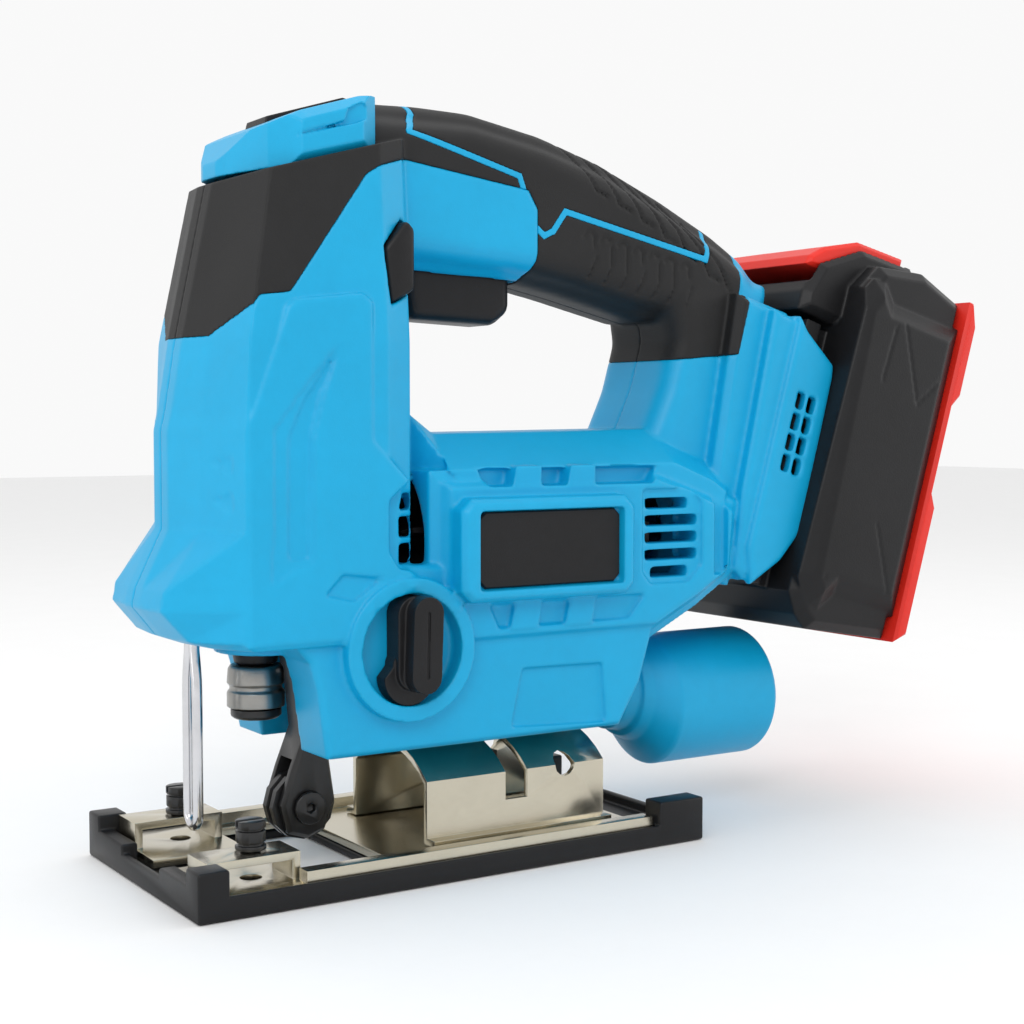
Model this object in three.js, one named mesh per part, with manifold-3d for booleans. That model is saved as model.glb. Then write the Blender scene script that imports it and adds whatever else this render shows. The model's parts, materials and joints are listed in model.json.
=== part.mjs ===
// Cordless jigsaw with a D-handle, a bevelling base and a slide-on battery.
// Millimetres. +Z is up, -X is the blade end, +X the battery end, -Y the tool's left side.
// The origin is the centre of the sole, on the face that rests on the work.
import * as THREE from 'three';
import { mergeVertices } from 'three/addons/utils/BufferGeometryUtils.js';
import Module from 'manifold-3d';

const wasm = await Module();
wasm.setup();

// ---- driving dimensions ----
const GAP = 0.3;                 // clearance between neighbouring pieces
const WALL = 2.5;                // wall of the moulded shells
const BODY_HALF = 30;            // half width of the head and the motor bay
const LOWER_HALF = 28;           // half width of the body below the motor
const HANDLE_HALF = 17;          // half width of the handle
const POST_HALF = 19;            // half width of the handle's rear post
const CAP_HALF = 22;             // half width of the cap on the head
const SHOE_LENGTH = 150;
const SHOE_HALF = 38.5;
const SHOE_FLOOR = 2.5;          // thickness of the plastic under the steel plate
const MOTOR_Z = 85;              // height of the motor's axis
const PINION_TEETH = 8;
const GEAR_TEETH = 40;
const MODULE = 1.125;            // tooth size of the gear pair
const GEAR_Z = MOTOR_Z + MODULE * (PINION_TEETH + GEAR_TEETH) / 2 + 0.3;
const GEAR_BACK = -19.5;
const GEAR_FRONT = -28;
const CRANK_RADIUS = 9;          // half of the blade's stroke
const BLADE_X = -43;             // the plunger's axis
const ROD_RADIUS = 5;
const CHUCK_RADIUS = 7.5;
const CHUCK_BOTTOM = 40;
const ARM_X = -29.5;             // hinge and roller of the guide arm
const ARM_HINGE_Z = 55;
const ROLLER_Z = 16;
const KNOB_X = -14;
const KNOB_Z = 59;
const SADDLE_RADIUS = 30.5;      // the saddle turns about the sole's centre line
const FENCE_X = -55;             // thumb screws that hold an edge guide
const FENCE_Y = 23;
const PORT_X = 119;              // open end of the dust port
const PORT_Z = 33.5;
const BATTERY_TILT = THREE.MathUtils.degToRad(17);
const BATTERY_ORIGIN = [100, 0, 100];

// ---- solids ----
const group = new THREE.Group();

function solid(geometry) {
  const plain = geometry.index ? geometry.toNonIndexed() : geometry.clone();
  plain.deleteAttribute('normal');
  plain.deleteAttribute('uv');
  const merged = mergeVertices(plain, 1e-4);
  return new wasm.Manifold(new wasm.Mesh({
    numProp: 3,
    vertProperties: new Float32Array(merged.attributes.position.array),
    triVerts: new Uint32Array(merged.index.array),
  }));
}

function geometryOf(shape) {
  const data = shape.getMesh();
  const geometry = new THREE.BufferGeometry();
  geometry.setAttribute('position', new THREE.BufferAttribute(new Float32Array(data.vertProperties), 3));
  geometry.setIndex(new THREE.BufferAttribute(new Uint32Array(data.triVerts), 1));
  geometry.computeVertexNormals();
  return geometry;
}

function union(...shapes) {
  return shapes.reduce((whole, next) => whole.add(next));
}

function cut(shape, ...tools) {
  return tools.reduce((left, tool) => left.subtract(tool), shape);
}

// A side outline of [x, z] points, extruded across the tool between two y values.
function slab(points, yLow, yHigh, bevel = 0, inset = 0) {
  const shape = new THREE.Shape(points.map(([x, z]) => new THREE.Vector2(x, z)));
  const low = yLow + inset;
  const high = yHigh - inset;
  const edge = inset === 0 ? bevel : Math.max(bevel, 0.02);
  const geometry = new THREE.ExtrudeGeometry(shape, {
    depth: high - low - 2 * edge,
    bevelEnabled: edge > 0,
    bevelSize: edge,
    bevelThickness: edge,
    bevelOffset: -edge - inset,
    bevelSegments: 1,
  });
  geometry.translate(0, 0, -(high - edge));
  geometry.rotateX(Math.PI / 2);
  return solid(geometry);
}

function slabBoth(points, half, bevel = 0, inset = 0) {
  return slab(points, -half, half, bevel, inset);
}

function box(x0, x1, y0, y1, z0, z1) {
  const geometry = new THREE.BoxGeometry(x1 - x0, y1 - y0, z1 - z0);
  geometry.translate((x0 + x1) / 2, (y0 + y1) / 2, (z0 + z1) / 2);
  return solid(geometry);
}

// Turned pieces: profile points are [distance along the axis, radius].
function turned(axis, centre, profile, sides = 18) {
  const geometry = new THREE.LatheGeometry(profile.map(([along, r]) => new THREE.Vector2(r, along)), sides);
  if (axis === 'x') geometry.rotateZ(-Math.PI / 2);
  if (axis === 'z') geometry.rotateX(Math.PI / 2);
  geometry.translate(...centre);
  return solid(geometry);
}

function rod(axis, centre, from, to, radius, sides = 18) {
  return turned(axis, centre, [[from, 0], [from, radius], [to, radius], [to, 0]], sides);
}

function ring(axis, centre, from, to, outer, inner, sides = 18) {
  return turned(axis, centre, [[from, inner], [from, outer], [to, outer], [to, inner], [from, inner]], sides);
}

// A round tube along X whose radius and height change between its two ends.
function taper(x0, z0, r0, x1, z1, r1, sides = 20) {
  const geometry = new THREE.CylinderGeometry(r1, r0, x1 - x0, sides);
  geometry.rotateZ(-Math.PI / 2);
  const shear = new THREE.Matrix4();
  shear.elements[2] = (z1 - z0) / (x1 - x0);
  geometry.applyMatrix4(shear);
  geometry.translate((x0 + x1) / 2, 0, (z0 + z1) / 2);
  return solid(geometry);
}

// The battery and its mount are drawn upright and leaned back together.
function tilted(shape) {
  const degrees = THREE.MathUtils.radToDeg(BATTERY_TILT);
  return shape.rotate([0, degrees, 0]).translate(BATTERY_ORIGIN);
}

// ---- finishes ----
const finishes = {
  bluePlastic: { color: 0x1aa3d6, roughness: 0.45, metalness: 0 },
  blackRubber: { color: 0x2a2a2b, roughness: 0.75, metalness: 0 },
  blackPlastic: { color: 0x1c1c1d, roughness: 0.5, metalness: 0 },
  redPlastic: { color: 0xd8261c, roughness: 0.4, metalness: 0 },
  steel: { color: 0xb9b7b0, roughness: 0.3, metalness: 1 },
  platedSteel: { color: 0xc9c2a8, roughness: 0.25, metalness: 1 },
  blackSteel: { color: 0x222222, roughness: 0.4, metalness: 0.6 },
  alloy: { color: 0xa8abae, roughness: 0.55, metalness: 1 },
  bronze: { color: 0xa9763c, roughness: 0.4, metalness: 1 },
  copper: { color: 0xb7652f, roughness: 0.35, metalness: 1 },
  whitePlastic: { color: 0xd9d9d2, roughness: 0.5, metalness: 0 },
  circuitGreen: { color: 0x1d5a34, roughness: 0.6, metalness: 0 },
};

function add(name, shape, finish, parent = group) {
  const mesh = new THREE.Mesh(geometryOf(shape), new THREE.MeshStandardMaterial(finishes[finish]));
  mesh.name = name;
  parent.add(mesh);
  return mesh;
}

// ---- outlines of the body, seen from the side ----
// The head is widest in the middle: towards its sides the front and the rear wall step inwards.
function headOutline(frontStep, rearStep) {
  const front = [[-70, 63], [-77, 71], [-71.5, 90], [-71.5, 115], [-67, 138], [-54.5, 176]];
  const rear = -5.5 - rearStep;
  return [
    ...front.map(([x, z]) => [x + frontStep, z]),
    [-28, 180], [-20, 184.5], [rear, 184.5], [rear, 119], [0, 108], [8, 104], [8, 61], [-44, 61],
  ];
}
const lowerOutline = [[-44, 61], [-36, 32.5], [54, 32.5], [61, 44], [66, 60], [66, 80], [-44, 80]];
const motorOutline = [
  [-6, 104], [66, 105], [78, 101], [97, 94], [95, 72], [82, 64], [66, 56], [-6, 56],
];
const motorCrest = [
  [-5.5, 119], [2, 113.5], [75, 114.5], [92, 108], [104, 100], [96, 80], [-6, 80],
];
const handleOutline = [
  [-22, 160], [-22, 195], [14, 196], [37, 192], [57, 187], [79, 178.5], [98, 169.5], [109, 162.5],
  [118, 152], [84, 148], [68, 150], [47, 155], [30, 158],
];
const handleCrest = [
  [-22, 156], [-22, 200], [16, 201], [39, 197], [59, 192], [81, 183], [100, 174], [112, 167],
  [121, 156], [75, 145], [47, 151.5], [32, 154.5], [-5, 156],
];
const postOutline = [[66, 84], [69, 108], [77.5, 126], [81.5, 140], [79, 156], [118, 158], [102, 84]];
const mountWings = [[-4, -31], [6, -31], [20, -14], [20, 40], [6, 52], [-12, 52]];
const mountRoot = [[-16, 52], [6, 52], [6, -31], [-9, -31]];
const gripRegion = [
  [-95, 136.5], [-61, 137.5], [-54, 147], [-46, 148], [-43, 152], [-24, 178], [-20, 180.5], [-12, 183],
  [-8, 184], [30, 179], [33, 174], [33, 160], [30, 148], [60, 140], [76, 134], [99, 136], [109, 173],
  [100, 215], [-95, 215],
];

// The outer form of the whole body, pulled in by an inset for the core under the overmould.
function bodyForm(inset = 0) {
  const mount = union(slabBoth(mountWings, BODY_HALF, 2, inset), slabBoth(mountRoot, 25, 2, inset));
  return union(
    slabBoth(headOutline(0, 0), 15, 2, inset),
    slabBoth(headOutline(4, 2.5), 22.5, 3, inset),
    slabBoth(headOutline(10, 7), BODY_HALF - 1, 3, inset),
    slabBoth(lowerOutline, LOWER_HALF, 2, inset),
    slabBoth(motorOutline, BODY_HALF, 6, inset),
    slabBoth(motorCrest, 20, 4, inset),
    slabBoth(handleOutline, HANDLE_HALF, 3, inset),
    slabBoth(handleCrest, HANDLE_HALF - 6, 4, inset),
    slabBoth(postOutline, POST_HALF, 5, inset),
    tilted(mount),
  );
}

const sleeve = slabBoth(gripRegion, 60);
const sleeveWithGap = slabBoth(gripRegion, 60, 0, -GAP);

// ---- hollows and openings of the housing ----
function innerHollows() {
  const headRoom = [[-62, 64], [-68, 74], [-64, 136], [-54, 169], [-25, 175], [-9, 175], [-9, 64]];
  const handleRoom = [
    [-16, 168], [-16, 193], [14, 194], [37, 190.5], [57, 185.5], [80, 176], [98, 167], [108, 160],
    [96, 146], [84, 150], [70, 153], [47, 158.5], [33, 161], [-5, 162],
  ];
  const postRoom = [[78, 104], [85, 126], [90, 145], [98, 154], [106, 148], [100, 118], [95, 104]];
  const motorRoom = [
    [-12, 0], [-12, 23.5], [16, 23.5], [16, 21.4], [22, 21.4], [22, 23.5], [50, 23.5], [50, 21.4],
    [56, 21.4], [56, 23.5], [78, 23.5], [88, 15], [88, 0],
  ];
  const dustRoom = [[-18, 41], [-18, 56], [52, 56], [58, 50], [52, 41]];
  return [
    slabBoth(headRoom, BODY_HALF - 4),
    slabBoth(handleRoom, 11.5),
    slabBoth(postRoom, 13),
    turned('x', [0, 0, MOTOR_Z], motorRoom),
    box(84, 96, -10, 10, 88, 110),
    slabBoth(dustRoom, 13),
    rod('x', [0, 0, 44], 50, 70, 9.6),
  ];
}

function openings() {
  const louvres = [];
  for (let i = 0; i < 5; i += 1) {
    louvres.push(box(61, 80, -34, 34, 73.5 + 5 * i, 76.5 + 5 * i));
  }
  for (let i = 0; i < 3; i += 1) {
    louvres.push(box(-4, 1, -34, 34, 81 + 6.5 * i, 85 + 6.5 * i));
  }
  const armSlot = [[-46, 28], [-46, 60], [-39, 66], [-18, 66], [-18, 28]];
  const knobSeat = rod('y', [KNOB_X, 0, KNOB_Z], -40, -BODY_HALF + 3.4, 14.5, 24);
  const lockSlot = [[-20, 160.5], [-18, 145.5], [-10.3, 149.5], [-10.3, 165.5], [-13, 168]];
  return [
    ...louvres,
    slabBoth(armSlot, 8.5),
    rod('z', [BLADE_X, 0, 0], 55, 70, 8.6),
    rod('y', [ARM_X, 0, ARM_HINGE_Z], -14.5, 14.5, 2.3, 12),
    knobSeat,
    rod('y', [KNOB_X, 0, KNOB_Z], -29, 13, 4.3),
    slabBoth(lockSlot, 34),
    box(-2, 31.6, -8.6, 8.6, 150, 172),
    rod('z', [24, 0, 0], 30, 40.5, 3.1, 12),
    box(3.7, 49.3, -36, -31.2, 73.2, 93.8),
    box(3.7, 49.3, 31.2, 36, 73.2, 93.8),
    tilted(slabBoth([[8, -29], [24, -29], [24, 60], [8, 60]], 27)),
    tilted(box(1.2, 10, -13.3, 13.3, -16.3, 16.3)),
  ];
}

// ---- housing, overmould, cap and labels ----
function mountRibs() {
  const rib = (side) => box(15, 18.5, side > 0 ? 22.8 : -28, side > 0 ? 28 : -22.8, -28.5, 40);
  return tilted(union(rib(-1), rib(1)));
}

function labelFrames() {
  const rim = (side) => {
    const [low, high] = side > 0 ? [28, 34.5] : [-34.5, -28];
    return box(-1, 54, low, high, 70, 97);
  };
  return union(rim(-1), rim(1));
}

// Screws that hold the two shells: [x, z, depth of the head's seat from the centre plane].
const SCREW_PLACES = [[-59, 100, 14], [-53, 162, 14], [84, 163, 9], [-71.5, 73, 14], [40, 58.7, 14], [50, 110.5, 12]];

function screwBosses() {
  return SCREW_PLACES.map(([x, z, seat]) => rod('y', [x, 0, z], -seat, seat, 4.2, 8));
}

function screwHoles() {
  return SCREW_PLACES.flatMap(([x, z, seat]) => [
    rod('y', [x, 0, z], -seat + 1, seat + 1, 1.9, 6),
    rod('y', [x, 0, z], seat - GAP, 45, 3, 8),
  ]);
}

function addShells() {
  const outside = bodyForm();
  const core = bodyForm(WALL + GAP);
  const shell = union(cut(outside, sleeveWithGap), core);
  const hollow = cut(union(shell, labelFrames()), ...innerHollows());
  const bosses = union(...screwBosses()).intersect(core);
  const housing = cut(union(hollow, bosses, mountRibs()), ...openings(), ...screwHoles());
  const grip = cut(outside.intersect(sleeve), bodyForm(WALL), ...openings(), ...screwHoles());
  const leftSide = box(-200, 300, -100, -GAP / 2, -50, 300);
  const rightSide = box(-200, 300, GAP / 2, 100, -50, 300);
  add('left_housing', biggest(housing.intersect(leftSide)), 'bluePlastic');
  add('right_housing', biggest(housing.intersect(rightSide)), 'bluePlastic');
  add('left_grip', biggest(grip.intersect(leftSide)), 'blackRubber');
  add('right_grip', biggest(grip.intersect(rightSide)), 'blackRubber');
}

// The largest separate body of a shape, without slivers that a cut may leave.
function biggest(shape) {
  return shape.decompose().sort((a, b) => b.volume() - a.volume())[0];
}

function addCap() {
  const capOutline = [[-54.5, 176], [-53.5, 181], [-49, 188], [-40, 193], [-23, 198.5], [-23, 180], [-40, 171]];
  const inlayOutline = [[-45, 181], [-41, 195], [-30, 200], [-25, 200], [-25, 186]];
  const plan = new THREE.Shape([
    [-70, -8], [-56, -10], [-40, -40], [0, -40], [0, 40], [-40, 40], [-56, 10], [-70, 8],
  ].map(([x, y]) => new THREE.Vector2(x, y)));
  const tapered = solid(new THREE.ExtrudeGeometry(plan, { depth: 220, bevelEnabled: false }));
  const cap = cut(slabBoth(capOutline, CAP_HALF, 3).intersect(tapered), bodyForm(-GAP));
  const wedge = slabBoth(inlayOutline, 6, 0, 0).intersect(slabBoth(capOutline, CAP_HALF, 3));
  add('top_cap', biggest(cut(cap, slabBoth(inlayOutline, 6, 0, -GAP))), 'bluePlastic');
  add('cap_inlay', biggest(wedge), 'blackPlastic');
}

function addLabels() {
  const plate = (side) => box(4, 49, side > 0 ? 31.5 : -34, side > 0 ? 34 : -31.5, 73.5, 93.5);
  add('label_left', plate(-1), 'blackPlastic');
  add('label_right', plate(1), 'blackPlastic');
}

// ---- trigger, lock and electrics ----
function addControls() {
  const triggerOutline = [[-1.5, 150], [0, 144], [26, 143], [31, 147], [31, 162.5], [-1.5, 162.5]];
  add('trigger', slabBoth(triggerOutline, 8, 2), 'blackPlastic');
  const lockOutline = [[-19.4, 160.2], [-17.6, 146.2], [-10.8, 149.8], [-10.8, 165.2], [-13.2, 167.4]];
  add('lock_button', slabBoth(lockOutline, 28), 'blackPlastic');
  add('switch_body', box(-1, 33, -10.5, 10.5, 170.2, 187), 'blackPlastic');
  add('speed_controller', box(40, 68, -9, 9, 166, 176), 'circuitGreen');
  const terminals = union(box(1.6, 8, -13, 13, -16, 12), box(7, 12.2, -5.5, -4, -8, 8), box(7, 12.2, 4, 5.5, -8, 8));
  add('terminal_block', tilted(terminals), 'whitePlastic');
}

// ---- motor: can, brushes and bearings stay still, the rotor turns ----
function addMotor() {
  const centre = [0, 0, MOTOR_Z];
  const canProfile = [
    [10, 4], [10, 21], [60, 21], [60, 19], [12, 19], [12, 4], [10, 4],
  ];
  add('motor_can', turned('x', centre, canProfile), 'steel');
  add('front_bearing', ring('x', centre, -16.5, -11.5, 8, 2.9, 20), 'steel');
  add('rear_bearing', ring('x', centre, 78, 83, 8, 2.9, 20), 'steel');
  for (const [name, side] of [['brush_left', -1], ['brush_right', 1]]) {
    const inner = 8.4 * side;
    const outer = 18 * side;
    add(name, box(64, 71, Math.min(inner, outer), Math.max(inner, outer), 82, 88), 'blackSteel');
  }
  add('motor_shaft', rod('x', centre, -29.5, 86, 2.5, 12), 'steel');
  add('armature', ring('x', centre, 16, 56, 17, 2.8), 'steel');
  add('commutator', ring('x', centre, 62, 73, 8, 2.8), 'copper');
  add('fan', fan(centre), 'blackPlastic');
}

function fan(centre) {
  const blades = 9;
  let wheel = union(ring('x', centre, -7, 2, 6, 2.8), ring('x', centre, 0.5, 2, 20, 2.8));
  for (let i = 0; i < blades; i += 1) {
    const blade = solid(new THREE.BoxGeometry(7.5, 1.4, 15.5));
    const placed = blade.translate([-3.2, 0, 12]).rotate([360 * i / blades, 0, 0]).translate(centre);
    wheel = wheel.add(placed);
  }
  return wheel;
}

// ---- gear pair ----
// A spur gear outline with straight-sided teeth, thinned for running clearance.
function gearWheel(teeth, from, to, centre, turn) {
  const pitch = MODULE * teeth / 2;
  const root = pitch - 1.2 * MODULE;
  const tip = pitch + 0.8 * MODULE;
  const step = 2 * Math.PI / teeth;
  const points = [];
  for (let i = 0; i < teeth; i += 1) {
    for (const [part, r] of [[-0.27, root], [-0.1, tip], [0.1, tip], [0.27, root]]) {
      const angle = (i + part) * step + turn;
      points.push(new THREE.Vector2(r * Math.cos(angle), r * Math.sin(angle)));
    }
  }
  const geometry = new THREE.ExtrudeGeometry(new THREE.Shape(points), { depth: to - from, bevelEnabled: false });
  geometry.translate(0, 0, from);
  geometry.rotateY(Math.PI / 2);
  geometry.translate(0, centre[1], centre[2]);
  return solid(geometry);
}

function addGears() {
  const motorCentre = [0, 0, MOTOR_Z];
  const gearCentre = [0, 0, GEAR_Z];
  const pinionTurn = 0;
  const gearTurn = Math.PI / GEAR_TEETH;
  const pinion = gearWheel(PINION_TEETH, GEAR_FRONT, GEAR_BACK, motorCentre, pinionTurn);
  add('pinion', cut(pinion, rod('x', motorCentre, -40, 0, 2.8, 12)), 'steel');
  const pinPlace = [0, CRANK_RADIUS * Math.cos(0.6), GEAR_Z + CRANK_RADIUS * Math.sin(0.6)];
  const wheel = gearWheel(GEAR_TEETH, GEAR_FRONT, GEAR_BACK, gearCentre, gearTurn);
  const pinHole = rod('x', pinPlace, -40, GEAR_BACK - 2, 3.3, 12);
  add('drive_gear', cut(wheel, rod('x', gearCentre, -40, 0, 4.3), pinHole), 'steel');
  add('crank_pin', rod('x', pinPlace, -34.2, GEAR_BACK - 2.3, 3, 12), 'steel');
  const half = box(-40, 0, -30, 30, -30, -1).rotate([-55.6, 0, 0]).translate(gearCentre);
  const weight = ring('x', gearCentre, GEAR_FRONT - 3.5, GEAR_FRONT - GAP, 19, 7).intersect(half);
  add('counterweight', weight, 'steel');
  add('gear_axle', rod('x', gearCentre, GEAR_FRONT - 1.5, -11, 4, 20), 'steel');
}

// The alloy bracket that carries the gear, the front bearing and both plunger bushes.
function addGearCase() {
  const side = [
    [-17, 63], [-17, 71.5], [-51, 71.5], [-51, 64.5], [-12, 64.5], [-12, 146], [-51, 146], [-51, 137.5],
    [-17, 137.5], [-17, 71.5],
  ];
  const bracket = [side[1], side[2], side[3], side[4], side[5], side[6], side[7], side[8]];
  const plate = slabBoth(bracket, 20, 1.5);
  const holes = [
    rod('x', [0, 0, MOTOR_Z], -20, -8, 8.3),
    rod('x', [0, 0, GEAR_Z], -20, -8, 4.3),
    rod('z', [BLADE_X, 0, 0], 60, 150, 8.3),
    box(-40, -8, -21, 21, 60, 74).intersect(box(-38, -20, -7, 7, 60, 74)),
  ];
  add('gear_case', cut(plate, ...holes), 'alloy');
  add('upper_bush', ring('z', [BLADE_X, 0, 0], 136.5, 147, 8, 5.3), 'bronze');
  add('lower_bush', ring('z', [BLADE_X, 0, 0], 63.5, 72.5, 8, 5.3), 'bronze');
}

// ---- plunger and blade clamp ----
function addPlunger() {
  const axis = [BLADE_X, 0, 0];
  add('plunger_rod', rod('z', axis, 58, 152, ROD_RADIUS), 'steel');
  const yokeCentre = GEAR_Z + CRANK_RADIUS * Math.sin(0.6);
  const plate = box(-38, -34.6, -17, 17, yokeCentre - 8.5, yokeCentre + 8.5);
  const slot = box(-39, -34, -12.6, 12.6, yokeCentre - 3.6, yokeCentre + 3.6);
  const block = box(-50, -37, -8, 8, yokeCentre - 7, yokeCentre + 7);
  const bore = rod('z', axis, 90, 140, ROD_RADIUS + GAP);
  add('yoke', cut(union(plate, block), slot, bore), 'steel');
  const neck = [[47, 0], [47, 4.2], [54.4, 4.2], [54.4, 5.6], [57.7, 6.2], [57.7, 0]];
  add('chuck_neck', turned('z', axis, neck), 'blackSteel');
  const collar = [
    [43, 4.6], [43, CHUCK_RADIUS], [47, CHUCK_RADIUS], [47.6, 6.8], [48.6, 6.8], [49.2, CHUCK_RADIUS],
    [53, CHUCK_RADIUS - 0.3], [54, 6.6], [54, 4.6], [43, 4.6],
  ];
  add('chuck_collar', turned('z', axis, collar, 20), 'steel');
  const nose = [[CHUCK_BOTTOM, 0], [CHUCK_BOTTOM, 5.6], [40.8, 6.6], [42.6, 6.6], [42.6, 4.2], [46.7, 4.2], [46.7, 0]];
  const bladeSlit = box(BLADE_X - 4.5, BLADE_X + 4.5, -0.9, 0.9, 38, 45.5);
  add('chuck_nose', cut(turned('z', axis, nose), bladeSlit), 'blackSteel');
}

// ---- guide arm with its roller, the pin it swings on and the wire guard ----
function addGuide() {
  const hinge = [ARM_X, 0, ARM_HINGE_Z];
  const roller = [ARM_X - 1.5, 0, ROLLER_Z];
  const armOutline = [
    [-35, 60], [-25, 60], [-22, 54], [-23, 46], [-26, 38], [-24.5, 27], [-23, 17], [-26, 9.5], [-31, 7.6],
    [-36.5, 9.5], [-38.5, 17], [-35.5, 26], [-31.5, 36], [-32.5, 46],
  ];
  const fork = box(-50, -20.5, -3.4, 3.4, 0, 28.5);
  const arm = cut(
    slabBoth(armOutline, 6, 1),
    fork,
    rod('y', roller, -10, 10, 2.8, 12),
    rod('y', hinge, -10, 10, 2.3, 12),
  );
  add('guide_arm', arm, 'blackSteel');
  const socket = rod('y', roller, -8, -6, 1.4, 6);
  const pin = cut(union(rod('y', roller, -6.5, 6.5, 2.5, 12), rod('y', roller, -7.6, -6.3, 4.4, 12)), socket);
  add('roller_pin', pin, 'blackSteel');
  const groove = [
    [-3, 2.8], [-3, 9], [-1, 9], [-0.6, 7.6], [0.6, 7.6], [1, 9], [3, 9], [3, 2.8], [-3, 2.8],
  ];
  add('guide_roller', turned('y', roller, groove, 12), 'blackSteel');
  add('arm_pin', rod('y', hinge, -14, 14, 2, 12), 'steel');
  addGuard();
}

// A bent wire: two legs side by side, joined below by a half turn and rooted in the body.
function addGuard() {
  const half = 3.3;
  const wireX = -60.5;
  const bend = 17;
  const route = new THREE.CurvePath();
  const leg = (y, z0, z1) => new THREE.LineCurve3(new THREE.Vector3(wireX, y, z0), new THREE.Vector3(wireX, y, z1));
  route.add(leg(-half, 61, bend));
  class HalfTurn extends THREE.Curve {
    getPoint(t, target = new THREE.Vector3()) {
      const angle = Math.PI + Math.PI * t;
      return target.set(wireX, half * Math.cos(angle), bend + half * Math.sin(angle));
    }
  }
  route.add(new HalfTurn());
  route.add(leg(half, bend, 61));
  const section = new THREE.Shape();
  section.absarc(0, 0, 1, 0, 2 * Math.PI);
  const wire = new THREE.ExtrudeGeometry(section, { steps: 24, extrudePath: route, curveSegments: 3 });
  add('blade_guard', solid(wire), 'steel');
}

// ---- pendulum selector ----
function addSelector() {
  const centre = [KNOB_X, 0, KNOB_Z];
  const disc = rod('y', centre, -30.5, -27, 13.8, 24);
  const lever = [
    [KNOB_X - 4.5, KNOB_Z + 13], [KNOB_X - 2.5, KNOB_Z + 15], [KNOB_X + 2.5, KNOB_Z + 15],
    [KNOB_X + 4.5, KNOB_Z + 13], [KNOB_X + 6.5, KNOB_Z - 8], [KNOB_X + 3.5, KNOB_Z - 12.5],
    [KNOB_X - 3.5, KNOB_Z - 12.5], [KNOB_X - 6.5, KNOB_Z - 8],
  ];
  const hub = rod('y', centre, -31, -26.9, 3.3, 12);
  add('orbital_knob', cut(union(disc, slab(lever, -40, -30, 2)), hub), 'blackPlastic');
  const shaft = union(rod('y', centre, -29, 8, 3, 12), rod('y', centre, -6, 8, 4, 12));
  const flat = box(-20, KNOB_X - 2.2, -6.5, 9, 50, 70);
  add('cam_shaft', cut(shaft, flat), 'steel');
}

// ---- base: plastic shoe, steel plate and the saddle welded to it ----
function addBase() {
  const back = SHOE_LENGTH / 2;
  const frontX = -back;
  const window = box(-44, -18, -27, 27, -1, 12);
  const well = box(-73, 73, -SHOE_HALF + 2.2, SHOE_HALF - 2.2, SHOE_FLOOR, 20);
  const corners = [];
  for (const [x0, x1, inner] of [[frontX, -67, 30.5], [60, back, 31]]) {
    corners.push(box(x0, x1, inner, SHOE_HALF, 1, 12), box(x0, x1, -SHOE_HALF, -inner, 1, 12));
  }
  const rim = cut(box(frontX, back, -SHOE_HALF, SHOE_HALF, 0, 5.5), well);
  const notch = box(-76, -66, -13, 13, SHOE_FLOOR, 20);
  const rail = cut(box(frontX, -70.5, -31, 31, 1, 8), notch);
  const shoe = cut(union(rim, ...corners, rail), window);
  add('overshoe', shoe, 'blackPlastic');
  addPlate(window);
  addSaddle();
}

function addPlate(window) {
  const floor = SHOE_FLOOR + GAP;
  const sheet = 2.2;
  const inner = SHOE_HALF - 2.2 - GAP;
  const slotTop = 9.8;
  const flat = box(-66.5, 59.5, -inner, inner, floor, floor + sheet);
  const tongue = box(-69.5, -60, -30, 30, floor, floor + sheet);
  const lips = [tongue];
  for (const side of [-1, 1]) {
    const lip = box(-46, 59, side > 0 ? inner - 4.5 : -inner, side > 0 ? inner : -inner + 4.5, floor, 8);
    lips.push(lip);
    const near = side > 0 ? 18.2 : -30.2;
    const bridge = union(
      box(-69.5, -45, near, near + 12, slotTop, slotTop + 2),
      box(-69.5, -67.3, near, near + 12, floor, slotTop + 1),
      box(-47.2, -45, near, near + 12, floor, slotTop + 1),
    );
    lips.push(bridge);
  }
  const blades = box(-80, -60, -5, 5, 0, 20);
  const tapped = [-FENCE_Y, FENCE_Y].map((y) => rod('z', [FENCE_X, y, 0], 0, 14, 2.8, 12));
  add('base_plate', cut(union(flat, ...lips), window, blades, ...tapped), 'platedSteel');
}

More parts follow.
